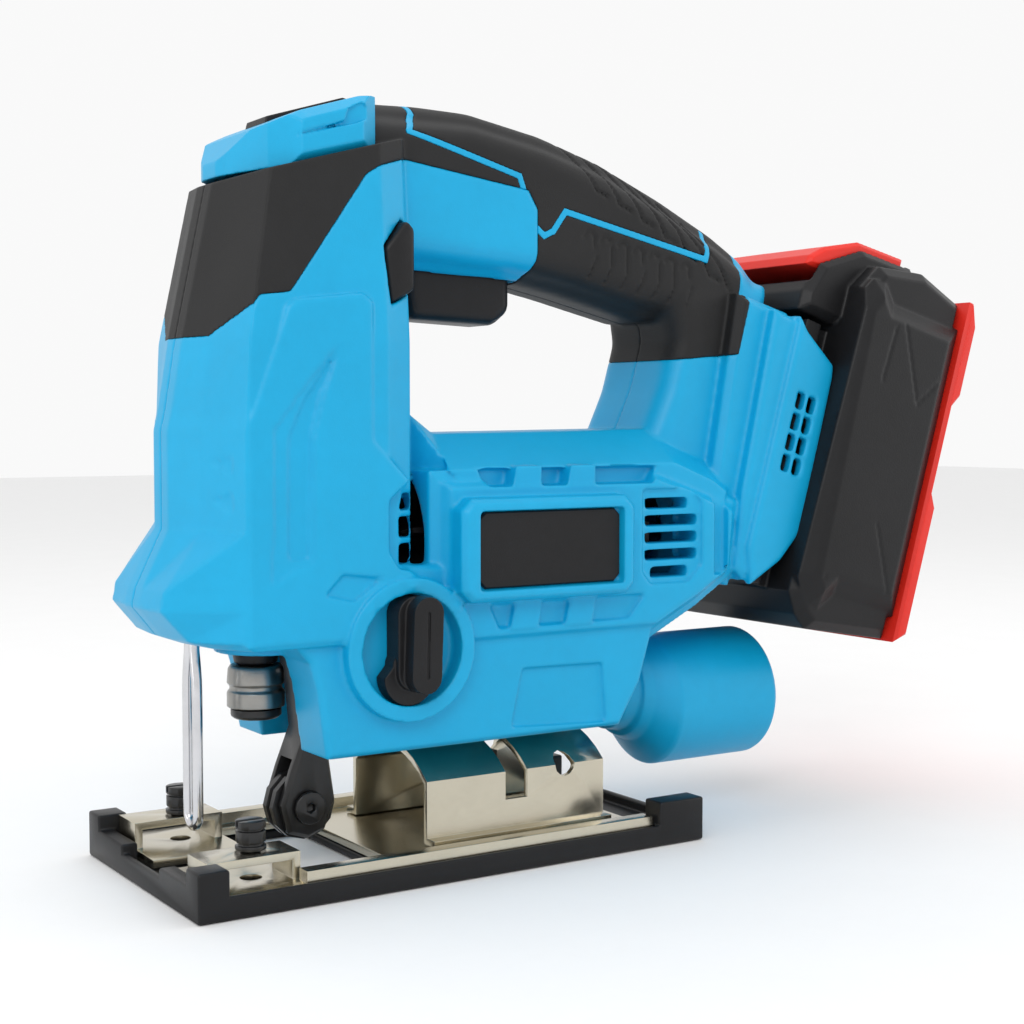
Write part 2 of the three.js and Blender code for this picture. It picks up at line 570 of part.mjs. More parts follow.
function addSaddle() {
  const foot = 21;
  const sheet = 1.7;
  const steps = 10;
  const outline = [];
  const arc = (radius, from, to) => {
    for (let i = 0; i <= steps; i += 1) {
      const angle = from + (to - from) * i / steps;
      outline.push(new THREE.Vector2(radius * Math.sin(angle), radius * Math.cos(angle)));
    }
  };
  const outer = Math.asin(foot / SADDLE_RADIUS);
  const inner = Math.asin((foot - sheet) / (SADDLE_RADIUS - sheet));
  const seat = 5.4;
  outline.push(new THREE.Vector2(-foot - 4, seat), new THREE.Vector2(-foot - 4, seat + sheet));
  outline.push(new THREE.Vector2(-foot, seat + sheet));
  arc(SADDLE_RADIUS, -outer, outer);
  outline.push(new THREE.Vector2(foot, seat + sheet), new THREE.Vector2(foot + 4, seat + sheet));
  outline.push(new THREE.Vector2(foot + 4, seat), new THREE.Vector2(foot - sheet, seat));
  arc(SADDLE_RADIUS - sheet, inner, -inner);
  outline.push(new THREE.Vector2(-foot + sheet, seat));
  const length = 57;
  const geometry = new THREE.ExtrudeGeometry(new THREE.Shape(outline), { depth: length, bevelEnabled: false });
  geometry.rotateX(Math.PI / 2);
  geometry.rotateZ(Math.PI / 2);
  geometry.translate(-4, 0, 0);
  const swing = box(20.5, 27.5, -26, 26, 14.5, 40);
  const peep = rod('y', [40, 0, 22], -40, 40, 3.2, 12);
  add('saddle', cut(solid(geometry), swing, peep), 'platedSteel');
  const nut = box(18.5, 29.5, -2.4, 2.4, 20.5, 24);
  const bolt = union(nut, rod('z', [24, 0, 0], 20.5, 39.5, 2.4, 12));
  add('clamp_bolt', bolt, 'blackSteel');
}

function addFenceScrews() {
  const profile = [
    [9.9, 0], [9.9, 2.5], [12.1, 2.5], [12.1, 3.9], [13.2, 3.9], [13.2, 3.1], [14, 3.1], [14, 3.7],
    [16.8, 3.7], [16.8, 3], [17.4, 3], [17.4, 3.8], [19.3, 3.8], [19.3, 0],
  ];
  for (const [name, y] of [['fence_screw_left', -FENCE_Y], ['fence_screw_right', FENCE_Y]]) {
    const slot = box(FENCE_X - 6, FENCE_X + 6, y - 0.6, y + 0.6, 17.8, 20);
    add(name, cut(turned('z', [FENCE_X, y, 0], profile, 12), slot), 'blackSteel');
  }
}

// ---- dust port ----
function addDustPort() {
  const outside = union(
    rod('x', [0, 0, 44], 54, 68, 9.2),
    taper(66.5, 39, 13, 76, 38, 13),
    taper(75, 38, 13, 81, PORT_Z, 19.5),
    taper(80.5, PORT_Z, 19.5, PORT_X, PORT_Z, 19.5),
  );
  const bore = union(
    rod('x', [0, 0, 44], 50, 70, 7),
    taper(68.5, 39, 10.5, 77, 38, 10.5),
    taper(75.5, 38, 10.5, 84, PORT_Z, 17.3),
    taper(83, PORT_Z, 17.3, PORT_X + 2, PORT_Z, 17.3),
  );
  add('dust_port', cut(outside, bore), 'bluePlastic');
}

function addHousingScrews() {
  SCREW_PLACES.forEach(([x, z, seat], index) => {
    const head = rod('y', [x, 0, z], seat, seat + 2, 2.6, 8);
    const shank = rod('y', [x, 0, z], -seat + 2, seat + 1, 1.5, 6);
    add(`housing_screw_${index + 1}`, union(shank, head), 'blackSteel');
  });
}

// ---- battery: drawn upright, x is the way it stands off its rail, z the way it slides ----
function addBattery() {
  const battery = new THREE.Group();
  battery.position.set(...BATTERY_ORIGIN);
  battery.rotation.y = BATTERY_TILT;
  group.add(battery);
  const half = 38;
  const mainOutline = [[25, -34], [30, -37.5], [62, -33], [62, 74], [44, 78], [26, 74], [20.6, 66], [20.6, -28]];
  const noseOutline = [[5.5, 54], [5.5, 60], [9, 70], [24, 79.5], [46, 81], [50, 76], [50, 54]];
  const tower = union(box(8.8, 14.6, -26.4, 26.4, -28, 52), box(14, 22, -22.3, 22.3, -28, 52));
  const outside = union(slabBoth(mainOutline, half, 4), slabBoth(noseOutline, 27, 3), tower);
  const cellRoom = box(23, 70, -half + 3.5, half - 3.5, -31, 62);
  const towerRoom = box(16, 24, -19, 19, -24, 46);
  const contactWay = box(8, 13, -8, 8, -30, 20);
  const latchRoom = box(3, 44, -20.8, 20.8, 64, 90);
  const body = cut(outside, cellRoom, towerRoom, contactWay, latchRoom);
  add('battery_case', body, 'blackPlastic', battery);
  const plateOutline = [
    [62.3, -33.5], [67, -30], [67, 10], [64.5, 14], [64.5, 42], [67, 46], [67, 68], [64, 75], [62.3, 75],
  ];
  add('battery_rear_plate', slabBoth(plateOutline, half - 0.5, 1), 'redPlastic', battery);
  add('battery_latch', latch(), 'redPlastic', battery);
  add('battery_board', box(18, 19.8, -18, 18, -20, 42), 'circuitGreen', battery);
  add('cell_pack', cells(), 'whitePlastic', battery);
}

function latch() {
  const outline = [[5.8, 68.5], [9, 73.2], [24, 81.5], [43.4, 83], [43.4, 68.5]];
  let button = slabBoth(outline, 20.4, 1);
  for (let i = 0; i < 4; i += 1) {
    button = button.subtract(box(14 + 7 * i, 16 + 7 * i, -15, 15, 77.5 + 1.5 * i, 95));
  }
  return button;
}

function cells() {
  const radius = 9.1;
  const length = 65;
  let pack = box(26, 58, -4, 4, -20, 52);
  for (let row = 0; row < 2; row += 1) {
    for (let i = 0; i < 5; i += 1) {
      const centre = [33 + 18 * row, 0, -20.5 + 18 * i];
      pack = pack.add(rod('y', centre, -length / 2, length / 2, radius, 8));
    }
  }
  return pack;
}

addShells();
addCap();
addLabels();
addControls();
addMotor();
addGears();
addGearCase();
addPlunger();
addGuide();
addSelector();
addBase();
addFenceScrews();
addDustPort();
addHousingScrews();
addBattery();

export default group;
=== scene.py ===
import json
import math

import bpy
from mathutils import Matrix, Vector

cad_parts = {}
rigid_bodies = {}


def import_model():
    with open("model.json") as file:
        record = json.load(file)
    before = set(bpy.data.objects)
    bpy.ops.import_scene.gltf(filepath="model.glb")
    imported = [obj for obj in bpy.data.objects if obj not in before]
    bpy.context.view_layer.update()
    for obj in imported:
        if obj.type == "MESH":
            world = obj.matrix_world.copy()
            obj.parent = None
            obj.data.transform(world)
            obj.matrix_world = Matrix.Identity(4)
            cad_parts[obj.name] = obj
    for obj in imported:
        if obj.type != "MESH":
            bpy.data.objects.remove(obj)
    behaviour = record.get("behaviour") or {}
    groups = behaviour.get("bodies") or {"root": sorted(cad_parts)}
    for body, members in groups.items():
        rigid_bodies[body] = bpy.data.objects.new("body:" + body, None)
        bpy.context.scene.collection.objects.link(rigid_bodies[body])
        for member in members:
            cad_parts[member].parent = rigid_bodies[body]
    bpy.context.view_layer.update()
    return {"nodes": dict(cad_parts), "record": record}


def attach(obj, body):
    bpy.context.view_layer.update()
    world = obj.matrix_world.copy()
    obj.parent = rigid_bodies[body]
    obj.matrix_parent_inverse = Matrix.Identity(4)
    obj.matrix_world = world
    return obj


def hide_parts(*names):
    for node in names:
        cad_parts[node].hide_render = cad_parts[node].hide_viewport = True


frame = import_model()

# ---- Studio ----
# A pale seamless floor under a softly lit white room.
MM = 0.001
scene = bpy.context.scene
scene.view_settings.view_transform = "Standard"
camera_data = bpy.data.cameras.new("camera")
camera_data.lens = 58.95
camera_data.sensor_width = 36
camera_data.clip_start = 0.01
camera = bpy.data.objects.new("camera", camera_data)
scene.collection.objects.link(camera)
camera.location = (-0.221155, -0.398977, 0.117091)
camera.rotation_euler = (math.radians(90 - 3.146), 0, math.radians(-32.81))
scene.camera = camera

world = bpy.data.worlds.new("studio")
scene.world = world
world.use_nodes = True
background = world.node_tree.nodes["Background"]
background.inputs["Color"].default_value = (1, 1, 1, 1)
background.inputs["Strength"].default_value = 0.95


def lamp(name, place, target, size, power):
    bpy.ops.object.light_add(type="AREA", location=place)
    light = bpy.context.object
    light.name = name
    light.data.shape = "RECTANGLE"
    light.data.size, light.data.size_y = size
    light.data.energy = power
    aim = Vector(target) - Vector(place)
    light.rotation_euler = aim.to_track_quat("-Z", "Y").to_euler()


MIDDLE = (0.0, 0.0, 0.1)
lamp("key_light", (-0.55, -0.75, 0.75), MIDDLE, (0.5, 0.5), 3.2)
lamp("front_light", (-0.85, 0.1, 0.3), MIDDLE, (0.25, 0.7), 0.8)
lamp("rear_light", (0.9, -0.35, 0.35), MIDDLE, (0.3, 0.6), 0.8)
lamp("top_light", (0.1, 0.15, 1.1), MIDDLE, (0.8, 0.5), 2)


def chosen(thing):
    """Makes one object the only selected one."""
    bpy.ops.object.select_all(action="DESELECT")
    thing.select_set(True)
    bpy.context.view_layer.objects.active = thing
    return thing


class Flow:
    """A value inside a material: arithmetic on it adds the Math nodes that work it out."""

    def __init__(self, tree, socket=None):
        self.tree, self.socket = tree, socket

    def node(self, kind, settings=None, values=None, output=0):
        made = self.tree.nodes.new(kind)
        for name, value in (settings or {}).items():
            if name == "stops":
                ramp = made.color_ramp
                while len(ramp.elements) < len(value):
                    ramp.elements.new(1)
                for element, (place, colour) in zip(ramp.elements, value):
                    element.position, element.color = place, colour
            else:
                setattr(made, name, value)
        for key, value in (values or {}).items():
            socket = made.inputs[key]
            if isinstance(value, Flow):
                self.tree.links.new(value.socket, socket)
            else:
                socket.default_value = value
        return Flow(self.tree, made.outputs[output])

    def maths(self, operation, first, second):
        return self.node("ShaderNodeMath", {"operation": operation}, {0: first, 1: second})

    def __add__(self, other):
        return self.maths("ADD", self, other)

    __radd__ = __add__

    def __mul__(self, other):
        return self.maths("MULTIPLY", self, other)

    __rmul__ = __mul__

    def __sub__(self, other):
        return self.maths("SUBTRACT", self, other)

    def __rsub__(self, other):
        return self.maths("SUBTRACT", other, self)

    def blend(self, low, high):
        """Two colours mixed by this value."""
        settings = {"data_type": "RGBA"}
        return self.node("ShaderNodeMix", settings, {0: self, 6: low, 7: high}, 2)

    def noise(self, place, scale, detail=2.0, roughness=0.5):
        values = {"Vector": place, "Scale": scale, "Detail": detail, "Roughness": roughness}
        return self.node("ShaderNodeTexNoise", {}, values, "Fac")

    def stretch(self, low, high):
        """This value spread out so that low becomes 0 and high becomes 1."""
        values = {0: self, 1: low, 2: high, 3: 0.0, 4: 1.0}
        return self.node("ShaderNodeMapRange", {"clamp": True}, values)


def finish(name, colour, rough, grain, metal=0.0, coat=0.0, shift=0.12, brushed=None, sheen=0.5):
    """A procedural finish: colour and gloss that wander slightly, and a fine grain.

    grain is (scale per metre, depth in metres); brushed is the stretch of the grain, and sheen
    is the strength of the plain gloss.
    """
    material = bpy.data.materials.new(name)
    material.use_nodes = True
    tree = material.node_tree
    shader = tree.nodes["Principled BSDF"]
    flow = Flow(tree)
    place = flow.node("ShaderNodeTexCoord", output="Object")
    fine_place = place
    if brushed:
        fine_place = flow.node("ShaderNodeMapping", {}, {"Vector": place, "Scale": brushed})
    broad = flow.noise(place, 35.0, 3.0)
    cloud = flow.noise(place, 260.0, 4.0, 0.6)
    fine = flow.noise(fine_place, grain[0], 3.0, 0.55)
    tone = (broad * 0.6 + cloud * 0.4).stretch(0.3, 0.7)
    darker = tuple(c * (1 - shift) for c in colour) + (1,)
    lighter = tuple(min(1.0, c * (1 + shift)) for c in colour) + (1,)
    base = tone.blend(darker, lighter)
    roughness = rough + (cloud - 0.5) * 0.18 * rough + (fine - 0.5) * 0.25 * rough
    bump_values = {"Height": fine, "Distance": grain[1], "Strength": 1.0}
    bump = flow.node("ShaderNodeBump", {}, bump_values)
    tree.links.new(base.socket, shader.inputs["Base Color"])
    tree.links.new(roughness.socket, shader.inputs["Roughness"])
    tree.links.new(bump.socket, shader.inputs["Normal"])
    shader.inputs["Metallic"].default_value = metal
    shader.inputs["Specular IOR Level"].default_value = sheen
    shader.inputs["Coat Weight"].default_value = coat
    shader.inputs["Coat Roughness"].default_value = 0.25
    return material


blue_shell = finish(
    "blue_shell", (0.0015, 0.35, 0.63), 0.4, (2600, 0.00003), shift=0.05, sheen=0.35)
black_rubber = finish(
    "black_rubber", (0.012, 0.012, 0.0125), 0.55, (3000, 0.00007), shift=0.2, sheen=0.28)
black_plastic = finish(
    "black_plastic", (0.009, 0.009, 0.01), 0.4, (2200, 0.00004), shift=0.2, sheen=0.25)
red_plastic = finish(
    "red_plastic", (0.7, 0.022, 0.012), 0.4, (2400, 0.00003), shift=0.06, sheen=0.3)
bright_steel = finish(
    "bright_steel", (0.62, 0.62, 0.64), 0.2, (900, 0.000012), 1.0, brushed=(1, 1, 0.08))
plated_steel = finish("plated_steel", (0.56, 0.52, 0.42), 0.24, (120, 0.00006), 1.0, shift=0.06)
ring_steel = finish(
    "ring_steel", (0.3, 0.295, 0.28), 0.33, (2500, 0.00003), 1.0, brushed=(0.06, 0.06, 1))
black_steel = finish(
    "black_steel", (0.01, 0.01, 0.0105), 0.33, (1800, 0.00002), coat=0.15, sheen=0.4)
alloy = finish("alloy", (0.52, 0.53, 0.54), 0.5, (900, 0.00006), 1.0)
bronze = finish("bronze", (0.5, 0.3, 0.12), 0.4, (700, 0.00003), 1.0)
copper = finish("copper", (0.72, 0.28, 0.12), 0.35, (700, 0.00003), 1.0)
white_plastic = finish("white_plastic", (0.7, 0.7, 0.68), 0.45, (1500, 0.00003))
board = finish("board", (0.02, 0.16, 0.05), 0.4, (600, 0.00003))
FINISHES = {
    "blue_shell": blue_shell, "black_rubber": black_rubber, "black_plastic": black_plastic,
    "red_plastic": red_plastic, "bright_steel": bright_steel, "plated_steel": plated_steel,
    "black_steel": black_steel, "alloy": alloy, "bronze": bronze, "copper": copper,
    "white_plastic": white_plastic, "board": board,
}

floor_finish = finish("floor", (0.86, 0.86, 0.86), 0.7, (400, 0.00001), shift=0.01)
bpy.ops.mesh.primitive_plane_add(size=6, location=(0, 0, -0.0002))
studio_floor = bpy.context.object
studio_floor.name = "studio_floor"
studio_floor.data.materials.append(floor_finish)

# ---- Inside: motor, gears, plunger, selector shaft, cells ----
# Turned, cast and pressed metal and moulded carriers. They keep the frame's shapes, each in its
# own finish, and show through the vents, the arm pocket and the open poses.
for part in frame["record"]["subparts"]:
    node_object = frame["nodes"][part["node"]]
    node_object.data.materials.clear()
    node_object.data.materials.append(FINISHES[part["material_slot"]])

# ---- Base: overshoe, steel plate, saddle, edge-guide screws ----
# A moulded shoe clips round a pressed nickel-plated plate; the saddle is spot-welded to the plate
# and the two thumb screws thread down through its bridges.


def refined(node, name, finish_used, width, segments=2, angle=30.0):
    """A node's shape as its own piece with every hard edge rounded."""
    source = chosen(frame["nodes"][node])
    bpy.ops.object.duplicate()
    piece = bpy.context.object
    piece.name = name
    bpy.ops.object.parent_clear(type="CLEAR_KEEP_TRANSFORM")
    bpy.ops.object.mode_set(mode="EDIT")
    bpy.ops.mesh.select_all(action="SELECT")
    bpy.ops.mesh.remove_doubles(threshold=0.000002)
    bpy.ops.mesh.dissolve_limited(angle_limit=math.radians(0.5))
    bpy.ops.object.mode_set(mode="OBJECT")
    if width:
        rounding = piece.modifiers.new("rounding", "BEVEL")
        rounding.width = width * MM
        rounding.segments = segments
        rounding.limit_method = "ANGLE"
        rounding.angle_limit = math.radians(angle)
        bpy.ops.object.modifier_apply(modifier=rounding.name)
    bpy.ops.object.shade_smooth_by_angle(angle=math.radians(40))
    piece.data.materials.clear()
    piece.data.materials.append(finish_used)
    return piece


def fitted(piece, body, slot, *nodes):
    """Fixes a finished piece to its body and lets it stand for its nodes."""
    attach(piece, body)
    if nodes:
        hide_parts(*nodes)
    return piece


shoe = refined("overshoe", "shoe", black_plastic, 0.7, 3)
fitted(shoe, "base", "black_plastic", "overshoe")
plate = refined("base_plate", "sole_plate", plated_steel, 0.5, 3)
fitted(plate, "base", "plated_steel", "base_plate")
saddle = refined("saddle", "saddle_arch", plated_steel, 0.35, 2)
fitted(saddle, "base", "plated_steel", "saddle")
for side in ("left", "right"):
    screw = refined("fence_screw_" + side, "guide_screw_" + side, black_steel, 0.25, 2)
    fitted(screw, side + "_screw", "black_steel", "fence_screw_" + side)

# ---- Housing: two moulded halves, black overmould, blue inlay line ----
# The two blue halves are screwed together along the middle; a soft black layer is moulded over
# the head and round the handle, with a thin blue line let into it.


def drawn(name, points, plane, level):
    """A flat face drawn through points in mm, lying at a level of one plane."""
    curve = bpy.data.curves.new(name, "CURVE")
    curve.dimensions = "2D"
    curve.fill_mode = "BOTH"
    spline = curve.splines.new("POLY")
    spline.points.add(len(points) - 1)
    for spot, (a, b) in zip(spline.points, points):
        spot.co = (a * MM, b * MM, 0, 1)
    spline.use_cyclic_u = True
    thing = bpy.data.objects.new(name, curve)
    scene.collection.objects.link(thing)
    chosen(thing)
    bpy.ops.object.convert(target="MESH")
    thing = bpy.context.object
    quarter = math.radians(90)
    turns = {"XZ": (quarter, 0, 0), "XY": (0, 0, 0), "YZ": (quarter, 0, quarter)}
    places = {"XZ": (0, level * MM, 0), "XY": (0, 0, level * MM), "YZ": (level * MM, 0, 0)}
    thing.rotation_euler = turns[plane]
    thing.location = places[plane]
    bpy.ops.object.transform_apply(location=True, rotation=True, scale=True)
    return thing


def pick(thing, test):
    """Goes into edit mode with only the faces that pass the test selected."""
    chosen(thing)
    bpy.ops.object.mode_set(mode="EDIT")
    bpy.ops.mesh.select_mode(type="FACE")
    bpy.ops.mesh.select_all(action="DESELECT")
    bpy.ops.object.mode_set(mode="OBJECT")
    for face in thing.data.polygons:
        face.select = test(face.center / MM, face.normal)
    bpy.ops.object.mode_set(mode="EDIT")


ACROSS = {"XZ": Vector((0, 1, 0)), "XY": Vector((0, 0, 1)), "YZ": Vector((1, 0, 0))}


def slab(name, points, low, high, plane="XZ", steps=()):
    """A plate of an outline between two levels; each step insets and raises both its faces."""
    thing = drawn(name, points, plane, low)
    across = ACROSS[plane]
    bpy.ops.object.mode_set(mode="EDIT")
    bpy.ops.mesh.select_all(action="SELECT")
    bpy.ops.mesh.remove_doubles(threshold=0.000001)
    bpy.ops.mesh.dissolve_limited(angle_limit=math.radians(0.5))
    bpy.ops.mesh.select_all(action="SELECT")
    lift = across * (high - low) * MM
    bpy.ops.mesh.extrude_region_move(TRANSFORM_OT_translate={"value": lift})
    bpy.ops.mesh.select_all(action="SELECT")
    bpy.ops.mesh.normals_make_consistent(inside=False)
    bpy.ops.object.mode_set(mode="OBJECT")
    for inward, outward in steps:
        heights = [face.center.dot(across) for face in thing.data.polygons]
        ends = (min(heights) / MM, max(heights) / MM)

        def at_an_end(centre, normal):
            level = centre.dot(across)
            return abs(normal.dot(across)) > 0.99 and min(abs(level - e) for e in ends) < 0.01

        pick(thing, at_an_end)
        bpy.ops.mesh.inset(thickness=inward * MM, depth=outward * MM)
        bpy.ops.object.mode_set(mode="OBJECT")
    return thing


def both(name, points, half, steps=()):
    """A slab that is the same on both sides of the middle."""
    inner = half - sum(outward for inward, outward in steps)
    return slab(name, points, -inner, inner, "XZ", steps)


def on_side(side, near, far):
    """The low and high level of a stretch that lies near to far out from the middle."""
    return sorted((side * near, side * far))


def block(name, x0, x1, y0, y1, z0, z1):
    """A square-cornered block, used to cut or to build."""
    return slab(name, [(x0, y0), (x1, y0), (x1, y1), (x0, y1)], z0, z1, "XY")


def round_bar(name, axis, centre, low, high, radius, sides=48):
    """A round bar along one axis between two levels."""
    bpy.ops.object.select_all(action="DESELECT")
    where = Vector(centre)
    index = "xyz".index(axis)
    where[index] = (low + high) / 2
    quarter = math.radians(90)
    turn = {"x": (0, quarter, 0), "y": (quarter, 0, 0), "z": (0, 0, 0)}[axis]
    bpy.ops.mesh.primitive_cylinder_add(
        vertices=sides, radius=radius * MM, depth=(high - low) * MM, location=where * MM, rotation=turn)
    bar = bpy.context.object
    bar.name = name
    bpy.ops.object.transform_apply(location=True, rotation=True, scale=True)
    return bar


def loft(name, rings):
    """A closed skin bridged through rings of points in mm."""
    hoops = []
    for ring in rings:
        curve = bpy.data.curves.new(name, "CURVE")
        curve.dimensions = "3D"
        spline = curve.splines.new("POLY")
        spline.points.add(len(ring) - 1)
        for spot, point in zip(spline.points, ring):
            spot.co = (*(Vector(point) * MM), 1)
        spline.use_cyclic_u = True
        hoop = bpy.data.objects.new(name, curve)
        scene.collection.objects.link(hoop)
        chosen(hoop)
        bpy.ops.object.convert(target="MESH")
        hoops.append(bpy.context.object)
    chosen(hoops[0])
    for hoop in hoops:
        hoop.select_set(True)
    bpy.ops.object.join()
    bpy.ops.object.mode_set(mode="EDIT")
    bpy.ops.mesh.select_mode(type="EDGE")
    bpy.ops.mesh.select_all(action="SELECT")
    bpy.ops.mesh.bridge_edge_loops()
    bpy.ops.mesh.select_all(action="SELECT")
    bpy.ops.mesh.fill_holes(sides=0)
    bpy.ops.mesh.select_all(action="SELECT")
    bpy.ops.mesh.normals_make_consistent(inside=False)
    bpy.ops.object.mode_set(mode="OBJECT")
    thing = bpy.context.object
    thing.name = name
    return thing


def combined(how, target, *others):
    """Joins others to the target, cuts them out of it, or keeps what they share."""
    for other in others:
        chosen(target)
        step = target.modifiers.new("step", "BOOLEAN")
        step.operation = how
        step.object = other
        step.solver = "MANIFOLD"
        bpy.ops.object.modifier_apply(modifier=step.name)
        bpy.data.objects.remove(other)
    return target


def copied(thing, name):
    chosen(thing)
    bpy.ops.object.duplicate()
    bpy.context.object.name = name
    return bpy.context.object


def moved(thing, shift, degrees=0.0, axis="Y"):
    """Turns a thing about the origin, then shifts it in mm."""
    chosen(thing)
    turn = Matrix.Rotation(math.radians(degrees), 4, axis)
    thing.matrix_world = Matrix.Translation(Vector(shift) * MM) @ turn @ thing.matrix_world
    bpy.ops.object.transform_apply(location=True, rotation=True, scale=True)
    return thing


def softened(thing, grid, rounds):
    """Remeshes a shape on a grid given in mm, then smooths it so many rounds."""
    chosen(thing)
    thing.data.remesh_voxel_size = grid * MM
    thing.data.remesh_voxel_adaptivity = 0
    bpy.ops.object.voxel_remesh()
    softening = thing.modifiers.new("softening", "SMOOTH")
    softening.factor = 0.5
    softening.iterations = rounds
    bpy.ops.object.modifier_apply(modifier=softening.name)
    return thing


def moulded(thing, name, finish_used, grid, rounds):
    """Remeshes a shape finely and rounds its edges, as a moulding's are."""
    softened(thing, grid, rounds)
    thing.name = name
    bpy.ops.object.shade_smooth()
    thing.data.materials.clear()
    thing.data.materials.append(finish_used)
    return thing


COARSE = 1.0
TILT = 17.0
RAIL = (100, 0, 100)
LEFT, RIGHT = -1, 1


def tilted(thing):
    """Leans a shape that is drawn upright back onto the battery rail."""
    return moved(thing, RAIL, TILT)


def head_ring(z, front, middle, edge, top=0.0, flare=0.0):
    """One level of the head: a narrow front, a slanting band, flat sides and a drawn-in rear.

    top draws the plan in and tips it up to the rear; flare widens the band at the head's foot.
    """
    half = 30 - 4 * top
    rise = 0.28 * top
    shape = [(front, 4.8), (middle, 15 - 2 * top + flare), (edge, half), (-20, half), (-11.5, half - 4),
             (-5.5, 13)]
    near = [(x, -y) for x, y in shape]
    far = [(x, y) for x, y in reversed(shape)]
    return [(x, y, z + (x - front) * rise) for x, y in near + far]


def body_form():
    """The whole outside of the housing before anything is cut from it."""
    head = loft("form", [
        head_ring(61.3, -64.5, -62, -56.5, 0, 5),
        head_ring(63.3, -70, -68.5, -58.5, 0, 3),
        head_ring(71, -76.2, -75.2, -58.5, 0, 2),
        head_ring(75.5, -75.2, -74.4, -58.5, 0, 2),
        head_ring(90, -68.2, -63.6, -58.5),
        head_ring(114.5, -68.2, -63.6, -58.5),
        head_ring(118.5, -67.2, -62.6, -57.8),
        head_ring(137, -64.2, -61, -57),
        head_ring(176, -55.8, -53.3, -49.5, 1.0),
    ])
    lower = both("lower", [
        (-44, 66), (-44, 61), (-40.5, 57), (-38.5, 50), (-36, 32.5), (54, 32.5), (61, 44), (66, 60),
        (66, 80), (-30, 80)], 28, [(1.2, 1.2)])
    motor = both("motor", [
        (-6, 104), (66, 105), (78, 101), (97, 94), (95, 72), (82, 64), (66, 56), (-6, 56),
    ], 30, [(2.5, 1.2), (2.2, 3.2)])
    crest = both("crest", [
        (-5.5, 119), (2, 113.5), (75, 114.5), (92, 108), (104, 100), (96, 80), (-6, 80),
    ], 27, [(9.5, 13)])
    handle = both("handle", [
        (-22, 160), (-22, 195), (14, 195.5), (37, 191.5), (57, 186), (79, 177), (98, 168), (109, 161.5),
        (118, 152), (84, 147.5), (68, 149), (47, 154), (30, 157)], 18,
        [(0.8, 2.6), (1.8, 2.2), (2.8, 1.4)])
    spine = both("spine", [
        (-22, 156), (-22, 199), (0, 200), (16, 199.7), (39, 195.7), (59, 190), (81, 181), (100, 172),
        (111, 165.5), (119, 157), (112, 151), (75, 145), (47, 151.5), (32, 154.5), (-5, 156)], 13,
        [(0.8, 2.6), (1.8, 2.2), (2.4, 1.2)])
    post = both("post", [
        (66, 84), (69, 108), (77.5, 126), (81.5, 140), (79, 156), (118, 158), (102, 84),
    ], 18.6, [(1.2, 3), (2.6, 2.6)])
    handle = softened(combined("UNION", handle, spine, post), 1.2 * COARSE, 14)
    wings = tilted(both("wings", [
        (3.3, 51.2), (7.5, 47.5), (20.2, 41), (21, 37.5), (22.6, -10), (17.5, -20), (8.4, -29.6),
        (4.1, -19.3),
    ], 30, [(1, 1)]))
    flank = tilted(both("flank", [
        (-5, 50.3), (5.3, 49.6), (8.7, 0), (7.6, -28.7), (3, -26.3), (-1, -4)], 28, [(1.5, 1)]))
    root = tilted(both("root", [(-16, 51.7), (4.4, 52.2), (6.3, -31), (-6, -30.4)], 24, [(2, 2)]))
    return combined("UNION", head, lower, motor, crest, handle, root, flank, wings)


form = body_form()

# Raised panels on both sides: the head panel, the label frame and the strap blocks.
panel = both("panel", [
    (-58.3, 62), (-58.3, 117), (-57, 119), (-47.5, 144.5), (-45.5, 146.3), (-27, 148.5), (-24, 146.5),
    (-24, 112), (-13.5, 101.5), (-17.3, 96.5), (-17.3, 82), (-11, 77), (-11, 62)], 30.8, [(0.8, 0.8)])
label_frame = both("label_frame", [
    (1.5, 70), (50.5, 70), (53.5, 73), (53.5, 94), (50.5, 97), (1.5, 97), (-1.5, 94), (-1.5, 73),
], 36, [(1.5, 1.5)])
form = combined("UNION", form, panel, label_frame)

